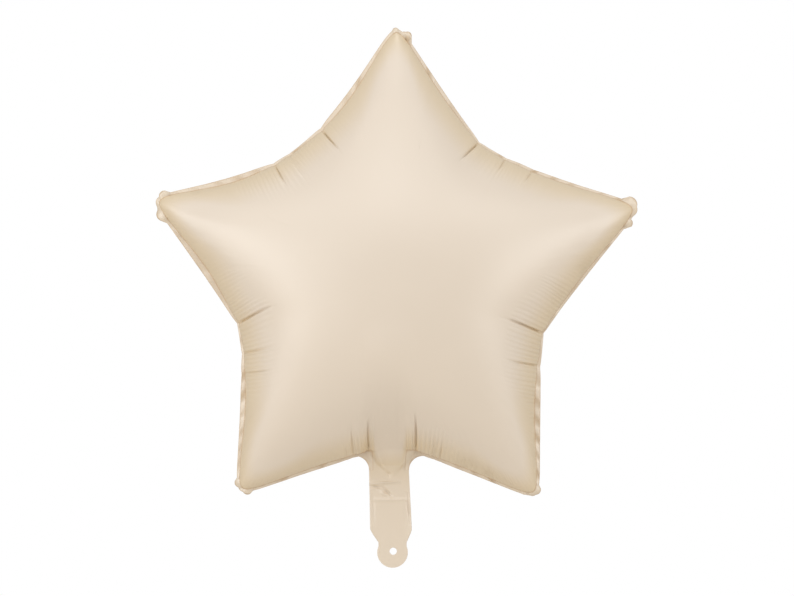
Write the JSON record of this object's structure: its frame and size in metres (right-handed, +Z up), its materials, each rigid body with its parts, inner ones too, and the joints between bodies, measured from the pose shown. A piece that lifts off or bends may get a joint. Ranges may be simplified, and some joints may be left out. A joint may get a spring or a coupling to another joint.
{
  "type": "star foil balloon",
  "caption": "Inflated five-pointed foil balloon with a flat sealed rim, pinched inner corners and a flat tail with a ribbon hole; hangs upright as party decoration.",
  "frame": {"origin": "middle of the ribbon hole in the tail's tab, on the balloon's middle plane", "axes": "+Z up along the tail to the top point, -Y out of the front face, +X to the right seen from the front"},
  "size_m": [0.4342, 0.1844, 0.486],
  "materials": {
    "cream_foil": "satin cream pastel film, softly reflecting, no print"
  },
  "bodies": {
    "root": {"foil_balloon": "cream_foil"}
  },
  "joints": []
}
